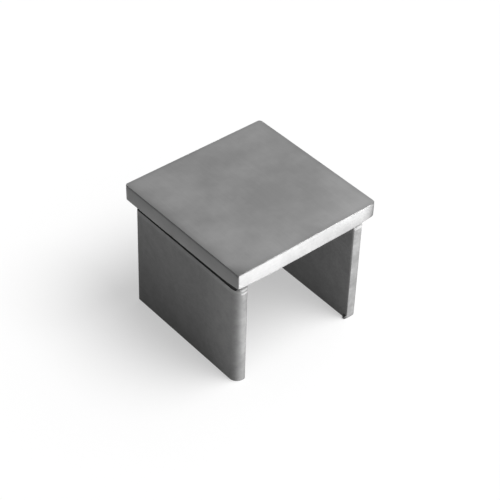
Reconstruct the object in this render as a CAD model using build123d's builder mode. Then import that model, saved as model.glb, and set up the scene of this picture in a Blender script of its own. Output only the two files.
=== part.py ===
from build123d import *
import os

os.makedirs("parts", exist_ok=True)

# End cap for a square slotted tube, cast in one piece and ground, in millimetres.
# A square plate covers the tube's end, and two parallel legs drive into the tube,
# one on each side of its slot channel.
#
# The origin is the middle of the plate's underside, where the tube's end seats.
# +Z points out of the tube, -Y is the front, and the legs stand at -X and +X.

# Tube that the cap closes
tube_side = 40.0
tube_wall = 1.5

# Cover plate, flush with the outside of the tube
plate_thickness = 4.3
plate_corner_radius = 0.7
plate_top_edge_radius = 0.25
plate_bottom_edge_radius = 0.4

# Legs. Each stands a little proud of the tube's bore, to grip it.
leg_length = 30.4
leg_thickness = 3.0
leg_grip = 0.05
leg_end_inset = 1.85
leg_front_corner_radius = 1.6
leg_back_corner_radius = 0.4
leg_inner_edge_radius = 0.4
leg_foot_edge_radius = 0.3

# Relief round the root of each leg, which lets the tube's end seat on the plate
relief_depth = 0.3
relief_height = 2.4
relief_bevel_height = 0.5

# Fillet inside each root, which takes the knocks that drive the cap home
root_fillet_radius = 2.5

# Sides of the right leg, measured from the middle of the cap
leg_outer_x = tube_side / 2 - tube_wall + leg_grip
leg_inner_x = leg_outer_x - leg_thickness
leg_end_y = tube_side / 2 - leg_end_inset
relief_bottom = relief_height + relief_bevel_height


def leg_section(inset, depth):
    # The right leg's section at a depth below the plate, set in on its three outer sides
    with BuildSketch(Plane.XY.offset(-depth)) as section:
        with Locations((leg_inner_x, 0)):
            Rectangle(
                leg_thickness - inset,
                2 * (leg_end_y - inset),
                align=(Align.MIN, Align.CENTER),
            )
        outer_corners = section.vertices().group_by(Axis.X)[-1].sort_by(Axis.Y)
        fillet(outer_corners[0], radius=leg_front_corner_radius)
        outer_corners = section.vertices().group_by(Axis.X)[-1].sort_by(Axis.Y)
        fillet(outer_corners[-1], radius=leg_back_corner_radius)
        inner_corners = section.vertices().group_by(Axis.X)[0]
        fillet(inner_corners, radius=leg_inner_edge_radius)
    return section.sketch


with BuildPart() as right_leg:
    # Neck inside the relief, bevel out to the full section, and the leg below it
    extrude(leg_section(relief_depth, 0), amount=-relief_height)
    loft([leg_section(relief_depth, relief_height), leg_section(0, relief_bottom)], ruled=True)
    extrude(leg_section(0, relief_bottom), amount=-(leg_length - relief_bottom))
    fillet(right_leg.edges().group_by(Axis.Z)[0], radius=leg_foot_edge_radius)

    # Fillet between the leg's inner face and the plate, as long as that face is flat
    with BuildSketch(Plane.XZ) as root_fillet:
        with Locations((leg_inner_x, 0)):
            Rectangle(root_fillet_radius, root_fillet_radius, align=(Align.MAX, Align.MAX))
        with Locations((leg_inner_x - root_fillet_radius, -root_fillet_radius)):
            Circle(root_fillet_radius, mode=Mode.SUBTRACT)
    extrude(amount=leg_end_y - relief_depth - leg_inner_edge_radius, both=True)

with BuildPart() as end_cap:
    with BuildSketch(Plane.XY) as plate_outline:
        RectangleRounded(tube_side, tube_side, plate_corner_radius)
    extrude(amount=plate_thickness)
    fillet(end_cap.edges().group_by(Axis.Z)[-1], radius=plate_top_edge_radius)
    fillet(end_cap.edges().group_by(Axis.Z)[0], radius=plate_bottom_edge_radius)

    add(right_leg.part)
    mirror(right_leg.part, about=Plane.YZ)

end_cap.part.label = "end_cap"
export_step(end_cap.part, "parts/end_cap.step")
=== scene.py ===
import math

import bmesh
import bpy
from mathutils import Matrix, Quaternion, Vector, noise


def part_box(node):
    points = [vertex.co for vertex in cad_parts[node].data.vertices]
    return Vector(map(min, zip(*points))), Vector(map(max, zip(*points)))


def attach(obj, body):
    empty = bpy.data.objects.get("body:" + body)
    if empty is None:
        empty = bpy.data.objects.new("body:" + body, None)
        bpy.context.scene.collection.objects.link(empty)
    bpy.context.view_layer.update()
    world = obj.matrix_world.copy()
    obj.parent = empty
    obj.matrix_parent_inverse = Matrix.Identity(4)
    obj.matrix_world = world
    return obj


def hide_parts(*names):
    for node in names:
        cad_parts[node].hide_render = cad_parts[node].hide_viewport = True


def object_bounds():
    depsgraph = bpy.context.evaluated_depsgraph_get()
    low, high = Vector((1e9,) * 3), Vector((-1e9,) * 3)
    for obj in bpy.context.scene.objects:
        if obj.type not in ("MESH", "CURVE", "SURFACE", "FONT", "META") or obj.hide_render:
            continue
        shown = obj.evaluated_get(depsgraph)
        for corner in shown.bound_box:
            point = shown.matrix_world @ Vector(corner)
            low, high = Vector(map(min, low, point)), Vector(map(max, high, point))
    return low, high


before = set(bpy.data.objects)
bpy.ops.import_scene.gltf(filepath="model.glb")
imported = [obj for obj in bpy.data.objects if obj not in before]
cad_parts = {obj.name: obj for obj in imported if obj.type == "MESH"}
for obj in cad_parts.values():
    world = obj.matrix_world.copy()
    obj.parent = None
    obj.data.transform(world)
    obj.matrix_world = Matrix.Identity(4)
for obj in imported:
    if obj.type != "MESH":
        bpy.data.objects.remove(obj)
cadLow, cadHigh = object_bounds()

mm = 0.001
tiny = 0.002 * mm                # points nearer than this are one point
capLow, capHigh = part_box("end_cap")
print("end cap: frame loaded")


def clamp(share):
    return min(1.0, max(0.0, share))


def bevelEdges(bm, edges, radius, segments):
    bmesh.ops.bevel(bm, geom=edges, offset=radius, offset_type="OFFSET", affect="EDGES",
                    segments=segments, profile=0.5, material=-1)


def addBox(bm, low, high):
    verts = bmesh.ops.create_cube(bm, size=1.0)["verts"]
    bmesh.ops.scale(bm, vec=Vector(high) - Vector(low), verts=verts)
    bmesh.ops.translate(bm, vec=(Vector(low) + Vector(high)) / 2, verts=verts)


def uprightEdges(bm):
    return [e for e in bm.edges if abs(e.verts[0].co.z - e.verts[1].co.z) > tiny]


def levelEdges(bm, z):
    return [e for e in bm.edges if all(abs(v.co.z - z) < tiny for v in e.verts)]


def cutAcross(bm, point, normal, clearOuter=False):
    bmesh.ops.bisect_plane(bm, geom=bm.verts[:] + bm.edges[:] + bm.faces[:], dist=tiny,
                           plane_co=point, plane_no=normal, clear_outer=clearOuter)


def finishShape(name, bm):
    bmesh.ops.remove_doubles(bm, verts=bm.verts, dist=tiny / 4)
    bmesh.ops.recalc_face_normals(bm, faces=bm.faces)
    mesh = bpy.data.meshes.new(name)
    bm.to_mesh(mesh)
    bm.free()
    shape = bpy.data.objects.new(name, mesh)
    bpy.context.scene.collection.objects.link(shape)
    return shape


def applyModifiers(shape):
    evaluated = shape.evaluated_get(bpy.context.evaluated_depsgraph_get())
    shape.data = bpy.data.meshes.new_from_object(evaluated)
    shape.modifiers.clear()


def combine(shape, other, operation):
    modifier = shape.modifiers.new(operation.lower(), "BOOLEAN")
    modifier.operation = operation
    modifier.solver = "EXACT"
    modifier.object = other
    applyModifiers(shape)
    bpy.data.objects.remove(other)


# Cover plate, with the small faults that grinding by hand leaves
plate = {
    "side": capHigh.x - capLow.x,
    "thickness": capHigh.z,
    # each corner was rounded by eye, so each has its own radius, kept by its signs of x and y
    "cornerRadii": {(-1, -1): 0.3 * mm, (1, -1): 1.1 * mm, (1, 1): 0.8 * mm, (-1, 1): 0.6 * mm},
    "cornerSegments": 7,
    "topEdgeRadius": 0.12 * mm,
    "bottomEdgeRadius": 0.15 * mm,
    "edgeSegments": 4,
    "cell": 1.6 * mm,            # cells that carry the unevenness
    "uncutRim": 1.5 * mm,        # they stop short of the rim, for its rounded corners
    "layers": 8,
    "unevenness": 0.04 * mm,     # how far the sides wander in from flat
    "wanderLength": 13.0 * mm,
    "wanderStart": (3.1, 7.7, 0.4),
    "wanderDepth": 3.0 * mm,     # how far in from the rim it dies out
    "sideCrown": 0.015 * mm,     # the belt takes a little more off the edges than off the middle
    "topCrown": 0.015 * mm,
    # the front bottom corners are ground away, -X and +X: how much, and how far along x and y
    "cornerLifts": {-1: (0.5 * mm, 9.0 * mm, 4.5 * mm), 1: (0.7 * mm, 6.0 * mm, 5.0 * mm)},
}

bm = bmesh.new()
half = plate["side"] / 2
addBox(bm, (-half, -half, 0), (half, half, plate["thickness"]))
for (signX, signY), radius in plate["cornerRadii"].items():
    place = Vector((signX, signY)) * half
    corner = [e for e in uprightEdges(bm) if (e.verts[0].co.xy - place).length < tiny]
    bevelEdges(bm, corner, radius, plate["cornerSegments"])
bevelEdges(bm, levelEdges(bm, plate["thickness"]), plate["topEdgeRadius"], plate["edgeSegments"])
bevelEdges(bm, levelEdges(bm, 0), plate["bottomEdgeRadius"], plate["edgeSegments"])
cells = math.floor((half - plate["uncutRim"]) / plate["cell"])
for i in range(-cells, cells + 1):
    cutAcross(bm, (i * plate["cell"], 0, 0), (1, 0, 0))
    cutAcross(bm, (0, i * plate["cell"], 0), (0, 1, 0))
for i in range(1, plate["layers"]):
    cutAcross(bm, (0, 0, plate["thickness"] * i / plate["layers"]), (0, 0, 1))
for v in bm.verts:
    wander = 0.5 + 0.5 * noise.noise(v.co / plate["wanderLength"] + Vector(plate["wanderStart"]))
    crown = (2 * v.co.z / plate["thickness"] - 1) ** 2
    taken = plate["unevenness"] * wander + plate["sideCrown"] * crown
    rims = [max(0.0, 1 - (half - abs(v.co[axis])) / plate["wanderDepth"]) for axis in (0, 1)]
    for axis in (0, 1):
        v.co[axis] -= math.copysign(taken * rims[axis], v.co[axis])
    if v.co.z > plate["thickness"] / 2:
        v.co.z -= plate["topCrown"] * max(rims) ** 2 * (2 * v.co.z / plate["thickness"] - 1)
    else:
        lift, reachX, reachY = plate["cornerLifts"][-1 if v.co.x < 0 else 1]
        away = math.hypot((half - abs(v.co.x)) / reachX, (v.co.y + half) / reachY)
        v.co.z += lift * max(0.0, 1 - away) * (1 - 2 * v.co.z / plate["thickness"])
cap = finishShape("cast_end_cap", bm)
print("end cap: plate shaped")

# Two legs, cast with the plate and dressed on a belt. Values in braces are for -X and +X.
legs = {
    "outer": 18.55 * mm,         # a little proud of the tube's bore, to grip it
    "thickness": 3.0 * mm,
    "end": 18.15 * mm,
    "frontCornerRadii": {-1: 2.2 * mm, 1: 0.9 * mm},
    "frontCornerSegments": 10,
    "innerCornerRadius": 0.45 * mm,
    "innerCornerSegments": 5,
    "backCornerRadius": 0.2 * mm,
    "footEdgeRadius": 0.18 * mm,
    "edgeSegments": 4,
    "backTapers": {-1: 0.45 * mm, 1: 0.2 * mm},   # casting draft left on the back ends
    "buried": 0.8 * mm,          # how far each leg runs up into the plate before they are joined
    # rings round the root: height on the sides at the back, then on the nose
    "rings": {
        "reliefBottom": (-2.15 * mm, -2.6 * mm),
        "bevelBottom": (-2.37 * mm, -3.2 * mm),
        "ridgeTop": (-3.1 * mm, -3.5 * mm),
        "ridgeBottom": (-3.5 * mm, -3.95 * mm),
    },
    "reliefSlope": 0.42 * mm,    # the relief is cut by hand, deeper down towards the front
    "reliefDepth": 0.18 * mm,    # lets the tube's end seat flat on the plate
    "backReliefShare": 0.3,      # and shallower across the back ends
    "noseReliefDepths": {-1: 0.2 * mm, 1: 0.26 * mm},
    "reliefDiesAt": -0.9,        # wall's normal along x, towards the inner face, where it runs out
    "ridgeDepths": {-1: 0.12 * mm, 1: 0.0},       # second pass of the belt, on the left nose only
    "bandTilts": {-1: 0.65 * mm, 1: 0.0},         # where the belt was held a little askew
    "bandPivot": 0.75,           # share of the leg's thickness, from outside, where it was level
    # a wall is nose where its normal goes forward by more than the first, blending over the second
    "noseFacing": (0.85, 0.13),
    "uprightWall": 0.5,          # and a wall at all where its normal goes up or down by less
    "rootFilletRadius": 2.5 * mm,
    "rootFilletSegments": 64,
    "rootFilletGap": 0.05 * mm,  # it stops this far short of the rounded inner corners
}
legs["inner"] = legs["outer"] - legs["thickness"]

# Right foot: cut a little out of square, rounded over outside, with a burr at its inner front corner
rightFoot = {
    "slope": 0.4 * mm,
    "slopeHeight": 1.0 * mm,
    "round": 1.2 * mm,
    "roundAngles": (15, 30, 45, 60, 75),
    "burrOut": 0.5 * mm,
    "burrBack": -17.0 * mm,
    "burrHeight": 0.55 * mm,
    "burrRun": 0.35 * mm,        # how far it takes to run out along the foot
    "burrRise": 0.4 * mm,        # and up the leg
    "burrWidth": 0.15 * mm,      # how much of the foot's inner side it takes up
    "burrMargin": 0.05 * mm,     # closeness within which a point counts as on the burr
}

# Painted light and shade, and dark casting scale, as shares of the finish's own tone: drops are darker,
# lifts are lighter
marks = {
    "bandHighlight": 0.65,            # painted highlight on the bands where the belt turned over an edge
    "bandBottom": -5.0 * mm,
    "noseHighlight": 0.14,            # painted light on the right nose, lighter towards its top
    "noseHighlightHeights": (-9.0 * mm, -4.0 * mm),
    "leftEdgeShade": 0.25,        # painted shade line along the plate's top left edge
    "edgeStart": 0.85,           # share of the plate's thickness where it begins
    "frontEdgeShade": 0.3,        # painted shade on the front edge, less bright than the face under it
    "tailShade": 0.4,             # and painted shade on the front face's right end
    "tailReach": (17.0 * mm, 18.9 * mm),
    "frontShare": 1.4,           # how soon both reach full strength as the corner turns to the front
    "scaleAndShadeDrop": 0.87,           # dark casting scale in the relief under the plate, with painted shade of that recess
    "scaleFacing": (0.25, 0.55),
    "easedTop": -1.0 * mm,      # above this, close under the plate, that scale and shade are lighter
    "easedShare": 0.7,
    "lipHighlight": 0.16,             # painted highlight on the lip under the relief
    "lipFacing": (0.35, 0.65),
    # painted light on the burr, which sits in shade
    "burrLight": 0.5,
    "burrTop": 1.2 * mm,         # above the foot, higher than any face of the burr
}


def noseShare(normal):
    start, blend = legs["noseFacing"]
    return clamp((-normal.y - start) / blend)


def slopedHeight(height, y):
    return height - legs["reliefSlope"] * (legs["end"] - y) / (2 * legs["end"])


def rootMove(v, side):
    # draws a point of the root in along its walls' normals, and settles it at its ring's height
    uprights = [f for f in v.link_faces if abs(f.normal.z) < legs["uprightWall"]]
    normals = {tuple(round(c, 4) for c in f.normal) for f in uprights}
    walls = [Vector(normal) for normal in normals]
    outward = sum(walls, Vector()).normalized()
    onNose = noseShare(outward)
    corner = legs["innerCornerRadius"] + tiny
    atInnerCorner = v.co.x < legs["inner"] + corner and v.co.y < corner - legs["end"]
    depth = 0.0
    if v.co.z > legs["rings"]["reliefBottom"][0] - tiny:
        depth = legs["reliefDepth"] * (1 - (1 - legs["backReliefShare"]) * max(0.0, outward.y))
        depth += (legs["noseReliefDepths"][side] - legs["reliefDepth"]) * onNose
        depth *= clamp(1 - outward.x / legs["reliefDiesAt"])
    elif v.co.z > legs["rings"]["ridgeTop"][0] - tiny:
        depth = legs["ridgeDepths"][side] * onNose
    move = -outward * depth / max(outward.dot(normal) for normal in walls)
    for sideHeight, noseHeight in legs["rings"].values():
        if abs(v.co.z - sideHeight) < tiny:
            sloped = slopedHeight(sideHeight, v.co.y)
            across = (legs["outer"] - v.co.x) / legs["thickness"] - legs["bandPivot"]
            tilted = noseHeight + legs["bandTilts"][side] * across
            move.z = sloped + (tilted - sloped) * (1.0 if atInnerCorner else onNose) - v.co.z
    return move


def legBar(side):
    # straight bar with its upright edges rounded, cut level where the relief and the ridge turn
    bm = bmesh.new()
    addBox(bm, (legs["inner"], -legs["end"], capLow.z), (legs["outer"], legs["end"], legs["buried"]))
    front = [e for e in uprightEdges(bm) if e.verts[0].co.x > legs["outer"] - tiny and e.verts[0].co.y < 0]
    bevelEdges(bm, front, legs["frontCornerRadii"][side], legs["frontCornerSegments"])
    inner = [e for e in uprightEdges(bm) if e.verts[0].co.x < legs["inner"] + tiny and e.verts[0].co.y < 0]
    bevelEdges(bm, inner, legs["innerCornerRadius"], legs["innerCornerSegments"])
    back = [e for e in uprightEdges(bm) if e.verts[0].co.y > legs["end"] - tiny]
    bevelEdges(bm, back, legs["backCornerRadius"], legs["edgeSegments"])
    for sideHeight, noseHeight in legs["rings"].values():
        cutAcross(bm, (0, 0, sideHeight), (0, 0, 1))
    cutAcross(bm, (0, 0, marks["noseHighlightHeights"][0]), (0, 0, 1))   # gives that mark a point to end at
    bm.normal_update()
    root = [v for v in bm.verts if v.co.z >= legs["rings"]["ridgeBottom"][0] - tiny]
    moves = [rootMove(v, side) for v in root]
    for v, move in zip(root, moves):
        v.co += move
    bevelEdges(bm, levelEdges(bm, capLow.z), legs["footEdgeRadius"], legs["edgeSegments"])
    for v in bm.verts:
        if v.co.y > 0:
            v.co.y -= legs["backTapers"][side] * (1 - v.co.z / capLow.z)
    return finishShape("leg", bm)


def rootFillet():
    # square bar with a cylinder taken out of it
    radius = legs["rootFilletRadius"]
    flat = legs["end"] - legs["innerCornerRadius"] - legs["rootFilletGap"]
    sunk = legs["inner"] + legs["thickness"] / 3
    bm = bmesh.new()
    addBox(bm, (legs["inner"] - radius, -flat, -radius), (sunk, flat, legs["buried"] / 2))
    fillet = finishShape("rootFillet", bm)
    bm = bmesh.new()
    bmesh.ops.create_cone(bm, cap_ends=True, cap_tris=False, segments=legs["rootFilletSegments"],
                          radius1=radius, radius2=radius, depth=legs["end"] * 3)
    turn = Quaternion((1, 0, 0), math.radians(90)).to_matrix()
    bmesh.ops.rotate(bm, cent=(0, 0, 0), matrix=turn, verts=bm.verts)
    bmesh.ops.translate(bm, vec=(legs["inner"] - radius, 0, -radius), verts=bm.verts)
    combine(fillet, finishShape("rootRound", bm), "DIFFERENCE")
    return fillet


def dressRightFoot(bm):
    burrTop = capLow.z + rightFoot["burrHeight"]
    burrEnd = rightFoot["burrBack"] - rightFoot["burrRun"]
    for y in (rightFoot["burrBack"], burrEnd):
        cutAcross(bm, (0, y, 0), (0, 1, 0))
    for z in (burrTop, burrTop + rightFoot["burrRise"]):
        cutAcross(bm, (0, 0, z), (0, 0, 1))
    for v in bm.verts:
        isInner = v.co.x < legs["inner"] + rightFoot["burrWidth"]
        if isInner and v.co.y < burrEnd + rightFoot["burrMargin"] and v.co.z < burrTop + tiny:
            v.co.x -= rightFoot["burrOut"]
        elif v.co.z < capLow.z + rightFoot["slopeHeight"]:
            v.co.z += rightFoot["slope"] * (v.co.y + legs["end"]) / (2 * legs["end"])
    radius = rightFoot["round"]
    centre = Vector((legs["outer"] - radius, 0, capLow.z + radius))
    for degrees in rightFoot["roundAngles"]:
        normal = Vector((math.sin(math.radians(degrees)), 0, -math.cos(math.radians(degrees))))
        cutAcross(bm, centre + normal * radius, normal, clearOuter=True)
        bmesh.ops.holes_fill(bm, edges=[e for e in bm.edges if e.is_boundary], sides=0)


for side in (-1, 1):
    leg = legBar(side)
    combine(leg, rootFillet(), "UNION")
    bm = bmesh.new()
    bm.from_mesh(leg.data)
    bpy.data.objects.remove(leg)
    bmesh.ops.scale(bm, vec=(side, 1, 1), verts=bm.verts)
    if side > 0:
        dressRightFoot(bm)
    combine(cap, finishShape("leg", bm), "UNION")
print("end cap: legs shaped and joined to the plate")


def hexColour(text):
    channels = [int(text[i:i + 2], 16) / 255 for i in (1, 3, 5)]
    return [c / 12.92 if c <= 0.04045 else ((c + 0.055) / 1.055) ** 2.4 for c in channels] + [1.0]


def addNode(tree, kind, settings=None, inputs=None):
    node = tree.nodes.new(kind)
    for name, value in (settings or {}).items():
        setattr(node, name, value)
    for name, value in (inputs or {}).items():
        if isinstance(value, bpy.types.NodeSocket):
            tree.links.new(value, node.inputs[name])
        else:
            node.inputs[name].default_value = value
    return node


# What the four finishes share. Places are measured from the middle of the cover's underside.
steel = {
    # detail and roughness: slow clouds where the abrasive bit more or less, the abrasive's own
    # grain, and small spots left by the casting's skin
    "patterns": {"cloud": (3.0, 0.55), "grain": (2.0, 0.6), "spot": (3.0, 0.6)},
    "toneSpread": 0.22,
    "streakSpread": (0.3, 0.7),
    "rimReach": (12.0 * mm, 38.0 * mm),           # x and y added, both taken as positive
    # where each painted shade, and the painted light towards the front, begins and where it is full
    "shadeReach": {
        "edge": (18.4 * mm, 20.0 * mm),           # the greater of x and y, both taken as positive
        "left": (-17.0 * mm, -20.0 * mm),         # along x
        "front": (-4.0 * mm, -17.0 * mm),         # along y
        "near": (5.5 * mm, 0.5 * mm),             # from the cover's front left corner
    },
    "sideFacing": (0.45, 1.0),
}


def steelFinish(name, finish):
    material = bpy.data.materials.new(name)
    material.use_nodes = True
    tree = material.node_tree
    tree.nodes.clear()
    coords = addNode(tree, "ShaderNodeTexCoord")
    patterns = {}
    for kind, (detail, roughness) in steel["patterns"].items():
        placed = addNode(tree, "ShaderNodeMapping", inputs={
            "Vector": coords.outputs["Object"], "Location": finish.get(kind + "Shift", (0.0, 0.0, 0.0)),
            "Scale": tuple(1 / size for size in finish[kind + "Size"])})
        pattern = addNode(tree, "ShaderNodeTexNoise", inputs={
            "Vector": placed.outputs[0], "Scale": 1.0, "Detail": detail, "Roughness": roughness})
        patterns[kind] = pattern.outputs["Fac"]
    place = addNode(tree, "ShaderNodeSeparateXYZ", inputs={0: coords.outputs["Object"]})
    apart = addNode(tree, "ShaderNodeVectorMath", {"operation": "ABSOLUTE"}, {0: coords.outputs["Object"]})
    sides = addNode(tree, "ShaderNodeSeparateXYZ", inputs={0: apart.outputs[0]})

    # clouds and spots between the two colours, lighter towards the rim
    worn = addNode(tree, "ShaderNodeMath", {"operation": "MULTIPLY_ADD"}, {
        0: patterns["spot"], 1: finish["spotShare"], 2: patterns["cloud"]})
    middle = 0.5 + finish["spotShare"] / 2        # wear at which the tone is midway
    if "rimLift" in finish:
        reach = addNode(tree, "ShaderNodeMath", {"operation": "ADD"}, {
            0: sides.outputs[0], 1: sides.outputs[1]})
        rim = addNode(tree, "ShaderNodeMapRange", {"interpolation_type": "SMOOTHSTEP"}, {
            "Value": reach.outputs[0], "From Min": steel["rimReach"][0], "From Max": steel["rimReach"][1],
            "To Max": finish["rimLift"]})
        worn = addNode(tree, "ShaderNodeMath", {"operation": "ADD"}, {0: worn.outputs[0], 1: rim.outputs[0]})
        middle += finish["rimLift"] / 3
    spread = addNode(tree, "ShaderNodeMapRange", inputs={
        "Value": worn.outputs[0],
        "From Min": middle - steel["toneSpread"], "From Max": middle + steel["toneSpread"]})
    tone = addNode(tree, "ShaderNodeMix", {"data_type": "RGBA"}, {
        0: spread.outputs[0], 6: hexColour(finish["darkColour"]), 7: hexColour(finish["lightColour"])})

    # everything below makes that lighter or darker
    # painted light and shade, and dark casting scale, from the mesh's own attribute
    paintedLightAndScale = addNode(tree, "ShaderNodeAttribute", {"attribute_name": "painted_light_and_scale"})
    streak = addNode(tree, "ShaderNodeMapRange", inputs={
        "Value": patterns["grain"],
        "From Min": steel["streakSpread"][0], "From Max": steel["streakSpread"][1],
        "To Min": 1 - finish["grainTone"], "To Max": 1 + finish["grainTone"]})
    factors = [paintedLightAndScale.outputs["Fac"], streak.outputs[0]]
    if "heightShade" in finish:
        # painted light and shade with height
        heightShade = addNode(tree, "ShaderNodeMapRange", inputs={
            "Value": place.outputs[2],
            "From Min": finish["heightShadeSpan"][0], "From Max": finish["heightShadeSpan"][1],
            "To Min": finish["heightShade"][0], "To Max": finish["heightShade"][1]})
        factors.append(heightShade.outputs[0])
    if "shades" in finish:
        # painted light and shade with place
        outermost = addNode(tree, "ShaderNodeMath", {"operation": "MAXIMUM"}, {
            0: sides.outputs[0], 1: sides.outputs[1]})
        fromCorner = addNode(tree, "ShaderNodeVectorMath", {"operation": "DISTANCE"}, {
            0: coords.outputs["Object"], 1: (capLow.x, capLow.y, capHigh.z)})
        measures = {"edge": outermost.outputs[0], "left": place.outputs[0],
                    "front": place.outputs[1], "near": fromCorner.outputs["Value"]}
        for kind, share in finish["shades"].items():
            start, full = steel["shadeReach"][kind]
            shade = addNode(tree, "ShaderNodeMapRange", {"interpolation_type": "SMOOTHSTEP"}, {
                "Value": measures[kind], "From Min": start, "From Max": full,
                "To Min": 1.0, "To Max": share})
            factors.append(shade.outputs[0])
    if "paintedSideShade" in finish:
        # painted shade on the faces towards the sides, darker than the front, by an amount that changes with
        # height, which may slope with y
        turned = addNode(tree, "ShaderNodeVectorMath", {"operation": "ABSOLUTE"}, {
            0: coords.outputs["Normal"]})
        sideways = addNode(tree, "ShaderNodeSeparateXYZ", inputs={0: turned.outputs[0]})
        slanted = addNode(tree, "ShaderNodeMath", {"operation": "MULTIPLY_ADD"}, {
            0: place.outputs[1], 1: finish["sideSlant"], 2: place.outputs[2]})
        paintedSideShade = addNode(tree, "ShaderNodeMapRange", inputs={
            "Value": slanted.outputs[0],
            "From Min": finish["sideHeights"][0], "From Max": finish["sideHeights"][1],
            "To Min": finish["paintedSideShade"][0], "To Max": finish["paintedSideShade"][1]})
        sideShade = addNode(tree, "ShaderNodeMapRange", {"interpolation_type": "SMOOTHSTEP"}, {
            "Value": sideways.outputs[0],
            "From Min": steel["sideFacing"][0], "From Max": steel["sideFacing"][1],
            "To Min": 1.0, "To Max": paintedSideShade.outputs[0]})
        factors.append(sideShade.outputs[0])
    amount = factors[0]
    for factor in factors[1:]:
        product = addNode(tree, "ShaderNodeMath", {"operation": "MULTIPLY"}, {0: amount, 1: factor})
        amount = product.outputs[0]
    colour = addNode(tree, "ShaderNodeVectorMath", {"operation": "SCALE"}, {
        0: tone.outputs[2], "Scale": amount})

    rough = addNode(tree, "ShaderNodeMapRange", inputs={
        "Value": spread.outputs[0],
        "To Min": finish["roughness"][0], "To Max": finish["roughness"][1]})
    bump = addNode(tree, "ShaderNodeBump", inputs={
        "Strength": 1.0, "Distance": finish["grainDepth"], "Height": patterns["grain"]})
    shader = addNode(tree, "ShaderNodeBsdfPrincipled", inputs={
        "Base Color": colour.outputs[0], "Metallic": 1.0, "Roughness": rough.outputs[0],
        "Normal": bump.outputs[0]})
    if "anisotropy" in finish:
        # a quarter turn from the tangent sets the stretched highlight across the belt's strokes
        tangent = addNode(tree, "ShaderNodeTangent", {"direction_type": "RADIAL", "axis": "Z"})
        tree.links.new(tangent.outputs[0], shader.inputs["Tangent"])
        shader.inputs["Anisotropic"].default_value = finish["anisotropy"]
        shader.inputs["Anisotropic Rotation"].default_value = 0.25
    addNode(tree, "ShaderNodeOutputMaterial", inputs={"Surface": shader.outputs[0]})
    return material


# Sizes are the real ones but for the grain. Belt scratches are about 0.1 mm wide, too fine to show
# at this distance, so each grain is drawn as coarse as it needs to show.
finishes = {
    # Stainless steel, satin ground on a fine belt and rubbed down by hand. To the eye: an even soft
    # grey with faint clouds the size of a fingertip, with painted shade along its edges, the left edge
    # and the front left corner.
    "satinGroundStainless": {
        "darkColour": "#d6d6d6", "lightColour": "#ececec",
        "roughness": (0.28, 0.32),
        "cloudSize": (11.0 * mm, 11.0 * mm, 11.0 * mm), "cloudShift": (6.5, 6.0, 0.0),
        "spotSize": (2.0 * mm, 2.0 * mm, 2.0 * mm), "spotShare": 0.25,
        "grainSize": (0.3 * mm, 9.0 * mm, 9.0 * mm), "grainTone": 0.02, "grainDepth": 0.002 * mm,
        "rimLift": 0.2,
        # painted shade along the edges, the left edge and the front left corner
        "shades": {"edge": 0.9, "left": 0.9, "near": 0.66},
    },
    # Stainless steel, linished along the plate's rim. To the eye: bright at the front, where the fine
    # upright highlight gathers, with painted shade at the sides and on the front's right end, and painted
    # light towards the top.
    "linishedStainless": {
        "darkColour": "#cdcdcd", "lightColour": "#d9d9d9",
        "roughness": (0.5, 0.58),
        "cloudSize": (5.0 * mm, 5.0 * mm, 5.0 * mm), "cloudShift": (2.3, 0.1, 0.0),
        "spotSize": (1.2 * mm, 1.2 * mm, 1.2 * mm), "spotShare": 0.5,
        "grainSize": (6.0 * mm, 6.0 * mm, 0.3 * mm), "grainTone": 0.03, "grainDepth": 0.002 * mm,
        "anisotropy": 1.0,
        # painted light towards the top of the rim
        "heightShadeSpan": (0.0, 4.3 * mm), "heightShade": (0.94, 1.165),
        # painted shade on the faces towards the sides
        "paintedSideShade": (0.744, 0.491), "sideHeights": (0.0, 4.3 * mm), "sideSlant": 0.0,
    },
    # Cast stainless steel, linished across the legs without cleaning up. To the eye: darker and
    # mottled with casting skin, with a soft streak down each rounded nose, painted light towards the
    # front, painted highlights on the nose bands and painted shade on the sides, low down and towards the
    # back.
    "linishedCastStainless": {
        "darkColour": "#8e8e8e", "lightColour": "#a5a5a5",
        "roughness": (0.6, 0.68),
        "cloudSize": (3.5 * mm, 3.5 * mm, 3.5 * mm), "cloudShift": (1.3, 4.1, 0.0),
        "spotSize": (0.9 * mm, 0.9 * mm, 0.9 * mm), "spotShare": 0.6,
        "grainSize": (2.5 * mm, 2.5 * mm, 0.5 * mm), "grainTone": 0.02, "grainDepth": 0.003 * mm,
        "anisotropy": 0.82,
        # painted shade towards the bottom of the legs
        "heightShadeSpan": (-30.0 * mm, -3.0 * mm), "heightShade": (0.9, 1.04),
        # painted light towards the front
        "shades": {"front": 1.38},
        # painted shade on the sides, low down and towards the back
        "paintedSideShade": (0.58, 0.75), "sideHeights": (-30.0 * mm, -12.0 * mm), "sideSlant": -0.6,
    },
    # Cast stainless steel as it left the grit blasting, under the plate and inside the legs. To the
    # eye: matt dark grey with a fine tooth, with painted shade low down and painted light higher up.
    # The blast's pits, 0.1 to 0.2 mm, are drawn 0.5 mm.
    "blastedCastStainless": {
        "darkColour": "#696969", "lightColour": "#7b7b7b",
        "roughness": (0.5, 0.6),
        "cloudSize": (3.0 * mm, 3.0 * mm, 3.0 * mm), "cloudShift": (5.3, 4.1, 0.0),
        "spotSize": (0.8 * mm, 0.8 * mm, 0.8 * mm), "spotShare": 0.6,
        "grainSize": (0.5 * mm, 0.5 * mm, 0.5 * mm), "grainTone": 0.06, "grainDepth": 0.02 * mm,
        # painted shade low down, painted light higher up and under the plate
        "heightShadeSpan": (-30.0 * mm, -3.0 * mm), "heightShade": (0.6, 1.35),
    },
}
for name, finish in finishes.items():
    cap.data.materials.append(steelFinish(name, finish))
slotOf = {name: i for i, name in enumerate(finishes)}

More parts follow.
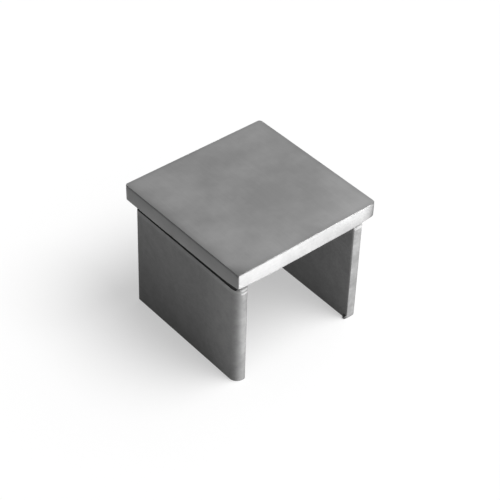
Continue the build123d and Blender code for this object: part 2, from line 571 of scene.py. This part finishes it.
# How far a face's normal has to go one way
faceTurns = {
    "towards": 0.5,              # to look that way at all
    "cover": 0.93,               # up, to belong to the cover
    "topEdge": 0.2,              # up, to belong to the rounding of the cover's front edge
    "band": 0.05,                # up, to be one of the bands on a nose
    "inside": 0.7,               # inwards, to be the inner face of a leg
    "level": 0.01,               # sideways, for a point's own normal to be used
    "sharpAngle": 35.0,          # degrees between two faces that makes their edge a sharp one
}


def finishOf(f, centre):
    if centre.z > -tiny:
        if f.normal.z < -faceTurns["towards"]:
            return "blastedCastStainless"
        isCover = f.normal.z > faceTurns["cover"] and centre.z > 0
        return "satinGroundStainless" if isCover else "linishedStainless"
    isInside = f.normal.x * centre.x < 0 and abs(f.normal.x) > faceTurns["inside"]
    isBetween = abs(centre.x) < legs["inner"] - tiny
    return "blastedCastStainless" if isInside or isBetween else "linishedCastStainless"


def paintedLightAndScaleAt(f, centre, v, finishName):
    # painted light and shade, and dark casting scale, at one corner of a face: above nought is lighter,
    # below it darker
    level = v.normal.xy.normalized() if v.normal.xy.length > faceTurns["level"] else f.normal.xy
    isLeg = centre.z < -tiny
    isOutside = f.normal.x * centre.x > 0
    sideHeight, noseHeight = legs["rings"]["bevelBottom"]
    sloped = slopedHeight(sideHeight, centre.y)
    reliefHeight = sloped + (noseHeight - sloped) * noseShare(f.normal)
    lipHeight = legs["rings"]["ridgeTop"][0] - legs["reliefSlope"]
    if isLeg and f.normal.y < -faceTurns["towards"]:
        # painted highlight on the nose bands
        if f.normal.z > faceTurns["band"] and centre.z > marks["bandBottom"]:
            return marks["bandHighlight"] * noseShare(level)
        # painted light towards the top of the right nose
        if centre.x > 0:
            low, high = marks["noseHighlightHeights"]
            return marks["noseHighlight"] * clamp((v.co.z - low) / (high - low))
    isHigh = centre.z > plate["thickness"] * marks["edgeStart"]
    isTopEdge = isHigh and -faceTurns["towards"] < f.normal.z < faceTurns["cover"]
    # painted shade along the cover's top left edge
    if isTopEdge and level.x < -faceTurns["towards"]:
        return -marks["leftEdgeShade"]
    # painted shade on the front face's right end and on its top edge, dimming their highlight
    if finishName == "linishedStainless":
        low, high = marks["tailReach"]
        paintedShade = marks["tailShade"] * clamp((v.co.x - low) / (high - low))
        if f.normal.z > faceTurns["topEdge"]:
            paintedShade += marks["frontEdgeShade"]
        return -paintedShade * clamp(-marks["frontShare"] * level.y)
    # painted light on the burr
    if 0 < centre.x < legs["inner"] - rightFoot["burrMargin"] and centre.z < capLow.z + marks["burrTop"]:
        return marks["burrLight"]
    # dark casting scale with painted shade in the relief under the plate
    if isLeg and isOutside and centre.z > reliefHeight:
        low, high = marks["scaleFacing"]
        share = clamp((abs(level.x) - low) / (high - low))
        if v.co.z > marks["easedTop"]:
            share *= marks["easedShare"]
        return -marks["scaleAndShadeDrop"] * share
    # painted highlight on the lip under the relief
    if isOutside and sloped > centre.z > lipHeight:
        low, high = marks["lipFacing"]
        return marks["lipHighlight"] * clamp((abs(level.x) - low) / (high - low))
    return 0.0


# painted light and shade that belong to one place, and dark casting scale, go into the mesh's own attribute,
# which each finish multiplies in
bm = bmesh.new()
bm.from_mesh(cap.data)
bmesh.ops.remove_doubles(bm, verts=bm.verts, dist=tiny / 4)
bm.normal_update()
painted_light_and_scale = bm.loops.layers.float.new("painted_light_and_scale")
for f in bm.faces:
    centre = f.calc_center_median()
    finishName = finishOf(f, centre)
    f.material_index = slotOf[finishName]
    f.smooth = True
    for loop in f.loops:
        loop[painted_light_and_scale] = 1.0 + paintedLightAndScaleAt(f, centre, loop.vert, finishName)
for e in bm.edges:
    e.smooth = e.is_manifold and e.calc_face_angle() < math.radians(faceTurns["sharpAngle"])
bm.to_mesh(cap.data)
bm.free()
weighted = cap.modifiers.new("weighted", "WEIGHTED_NORMAL")
weighted.mode = "FACE_AREA"
weighted.keep_sharp = True
applyModifiers(cap)
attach(cap, "root")
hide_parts("end_cap")
print("end cap: finished in steel")

studio = {
    "floorColour": "#f9f9f9",
    "floorReach": 3.0,           # in metres, so that it fills the view
    "floorSegments": 96,
    "floorGlow": 0.45,           # share of the floor that is seen as plain white
    "keyAzimuth": 40.0,          # degrees from -Y towards +X
    "keyElevation": 60.0,
    "keyStrength": 2.5,
    "keySpread": 40.0,           # wide enough to throw a soft shadow
    "darkSide": 0.04,            # strength of the room's light away from the key
    "brightSide": 1.1,           # and towards it
    "sideSpan": (-0.82, 0.95),
    "horizon": 0.45,             # share of that which is left at the horizon
    "horizonSpan": (0.1, 0.6),
}

bm = bmesh.new()
bmesh.ops.create_circle(bm, cap_ends=True, segments=studio["floorSegments"], radius=studio["floorReach"])
bmesh.ops.translate(bm, vec=(0, 0, cadLow.z), verts=bm.verts)
floorMesh = bpy.data.meshes.new("floor")
bm.to_mesh(floorMesh)
bm.free()
floor = bpy.data.objects.new("floor", floorMesh)
bpy.context.scene.collection.objects.link(floor)
# Matt white paper, uncoated. To the eye: an even white without gloss, clear when seen from below.
paper = bpy.data.materials.new("mattWhitePaper")
paper.use_nodes = True
tree = paper.node_tree
tree.nodes.clear()
sheet = addNode(tree, "ShaderNodeBsdfDiffuse", inputs={"Color": hexColour(studio["floorColour"])})
# what looks at the floor sees it part white, so it keeps the cap's shadow but a light one
rays = addNode(tree, "ShaderNodeLightPath")
seen = rays.outputs["Is Camera Ray"]
for kind in ("Is Glossy Ray", "Is Transmission Ray"):
    either = addNode(tree, "ShaderNodeMath", {"operation": "MAXIMUM"}, {0: seen, 1: rays.outputs[kind]})
    seen = either.outputs[0]
share = addNode(tree, "ShaderNodeMath", {"operation": "MULTIPLY"}, {0: seen, 1: studio["floorGlow"]})
white = addNode(tree, "ShaderNodeEmission", inputs={"Strength": 1.0})
lit = addNode(tree, "ShaderNodeMixShader", inputs={
    0: share.outputs[0], 1: sheet.outputs[0], 2: white.outputs[0]})
clear = addNode(tree, "ShaderNodeBsdfTransparent")
below = addNode(tree, "ShaderNodeNewGeometry")
fromAbove = addNode(tree, "ShaderNodeMixShader", inputs={
    0: below.outputs["Backfacing"], 1: lit.outputs[0], 2: clear.outputs[0]})
addNode(tree, "ShaderNodeOutputMaterial", inputs={"Surface": fromAbove.outputs[0]})
floorMesh.materials.append(paper)

world = bpy.data.worlds.new("studio")
bpy.context.scene.world = world
world.use_nodes = True
tree = world.node_tree
tree.nodes.clear()
azimuth, elevation = math.radians(studio["keyAzimuth"]), math.radians(studio["keyElevation"])
brightWay = (math.sin(azimuth), -math.cos(azimuth), 0.0)
coords = addNode(tree, "ShaderNodeTexCoord")
facing = addNode(tree, "ShaderNodeVectorMath", {"operation": "DOT_PRODUCT"}, {
    0: coords.outputs["Generated"], 1: brightWay})
level = addNode(tree, "ShaderNodeMapRange", {"interpolation_type": "SMOOTHSTEP"}, {
    "Value": facing.outputs["Value"],
    "From Min": studio["sideSpan"][0], "From Max": studio["sideSpan"][1],
    "To Min": studio["darkSide"], "To Max": studio["brightSide"]})
# dimmer towards the horizon, as a room is below its lamps
heights = addNode(tree, "ShaderNodeSeparateXYZ", inputs={0: coords.outputs["Generated"]})
horizon = addNode(tree, "ShaderNodeMapRange", {"interpolation_type": "SMOOTHSTEP"}, {
    "Value": heights.outputs[2],
    "From Min": studio["horizonSpan"][0], "From Max": studio["horizonSpan"][1],
    "To Min": studio["horizon"], "To Max": 1.0})
strength = addNode(tree, "ShaderNodeMath", {"operation": "MULTIPLY"}, {
    0: level.outputs[0], 1: horizon.outputs[0]})
sky = addNode(tree, "ShaderNodeBackground", inputs={"Strength": strength.outputs[0]})
addNode(tree, "ShaderNodeOutputWorld", inputs={"Surface": sky.outputs[0]})

keyData = bpy.data.lights.new("softKey", "SUN")
keyData.energy = studio["keyStrength"]
keyData.angle = math.radians(studio["keySpread"])
key = bpy.data.objects.new("softKey", keyData)
fromKey = Vector(brightWay) * math.cos(elevation) + Vector((0, 0, math.sin(elevation)))
key.rotation_mode = "QUATERNION"
key.rotation_quaternion = fromKey.to_track_quat("Z", "Y")
bpy.context.scene.collection.objects.link(key)
print("end cap: floor and lights set")

camera = {
    "place": (-170.32 * mm, -194.36 * mm, 210.85 * mm),
    "looks": (0.49941, 0.56822, -0.65400),        # the way it points
    "roll": 1.793,               # degrees about that way
    "lens": 106.35,              # lens and sensor are in the camera's own millimetres
    "sensor": 36.0,
    "clip": (0.01, 10.0),
}
cameraData = bpy.data.cameras.new("camera")
cameraData.lens = camera["lens"]
cameraData.sensor_width = camera["sensor"]
cameraData.clip_start, cameraData.clip_end = camera["clip"]
viewer = bpy.data.objects.new("camera", cameraData)
viewer.location = camera["place"]
viewer.rotation_mode = "QUATERNION"
viewer.rotation_quaternion = (Vector(camera["looks"]).to_track_quat("-Z", "Y")
                              @ Quaternion((0, 0, 1), math.radians(camera["roll"])))
bpy.context.scene.collection.objects.link(viewer)
bpy.context.scene.camera = viewer
bpy.context.scene.view_settings.view_transform = "Standard"
print("end cap: camera set")
